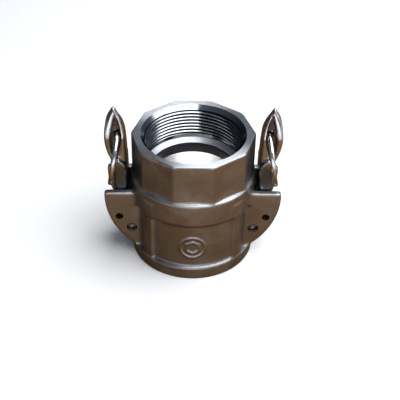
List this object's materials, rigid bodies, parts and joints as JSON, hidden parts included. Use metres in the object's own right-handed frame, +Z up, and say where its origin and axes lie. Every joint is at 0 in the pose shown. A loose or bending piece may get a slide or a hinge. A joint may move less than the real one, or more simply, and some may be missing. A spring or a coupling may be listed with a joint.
{
  "type": "camlock coupler",
  "caption": "Cast stainless camlock coupler: female pipe thread with wrench flats at one end, a gasketed socket with hinged cam arms and pull rings at the other.",
  "frame": {"origin": "centre of the mouth face, where the coupler stands", "axes": "+Z up the bore towards the threaded end; +X through the right-hand cam arm; +Y away from the front panel"},
  "size_m": [0.1068, 0.0762, 0.1002],
  "materials": {
    "cast_steel": "satin investment cast stainless, machined inside",
    "polished_steel": "tumbled and polished cast stainless",
    "pin_steel": "turned stainless",
    "ring_steel": "bright stainless wire",
    "gasket_rubber": "black nitrile rubber"
  },
  "bodies": {
    "body": {"coupler_body": "cast_steel", "gasket": "gasket_rubber", "left_pivot_pin": "pin_steel", "right_pivot_pin": "pin_steel"},
    "left_arm": {"left_cam_arm": "polished_steel"},
    "right_arm": {"right_cam_arm": "polished_steel"},
    "left_ring": {"left_pull_ring": "ring_steel"},
    "right_ring": {"right_pull_ring": "ring_steel"}
  },
  "joints": [
    {"name": "left_arm_pivot", "type": "hinge", "parent": "body", "child": "left_arm", "pos_m": [-0.0374, 0, 0.022], "axis": [0, -1, 0], "range_deg": [0, 110]},
    {"name": "right_arm_pivot", "type": "hinge", "parent": "body", "child": "right_arm", "pos_m": [0.0374, 0, 0.022], "axis": [0, 1, 0], "range_deg": [0, 110]},
    {"name": "left_ring_swing", "type": "hinge", "parent": "left_arm", "child": "left_ring", "pos_m": [-0.0448, 0, 0.0836], "axis": [0, 1, 0], "range_deg": [0, 150]},
    {"name": "right_ring_swing", "type": "hinge", "parent": "right_arm", "child": "right_ring", "pos_m": [0.0448, 0, 0.0836], "axis": [0, -1, 0], "range_deg": [0, 150]}
  ]
}
